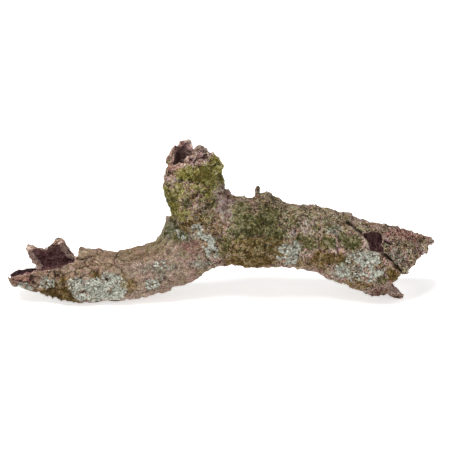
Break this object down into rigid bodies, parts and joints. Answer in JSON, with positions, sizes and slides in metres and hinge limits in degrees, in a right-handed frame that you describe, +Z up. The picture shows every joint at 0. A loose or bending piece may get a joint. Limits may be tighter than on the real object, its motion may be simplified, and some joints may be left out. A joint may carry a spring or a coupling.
{
  "type": "piece of bark",
  "caption": "Hollow piece of bark from a forked branch, standing as a low arch with an upright stub, torn open at its ends, with leafy lichens on its skin.",
  "frame": {"origin": "on the ground, under the middle of the piece's box", "axes": "+X along the arch towards the end with the torn flap, -Y towards the side with the lichens, +Z up"},
  "size_m": [0.4038, 0.068, 0.1618],
  "materials": {
    "bark": "rough, dry and matt, with a plated outer skin and moss",
    "lichen": "pale grey-green, dry and matt"
  },
  "bodies": {
    "root": {"bark": "bark", "lichen_left_tip": "lichen", "lichen_left_arm": "lichen", "lichen_left_middle": "lichen", "lichen_fork": "lichen", "lichen_right_middle": "lichen", "lichen_right_end": "lichen"}
  },
  "joints": []
}
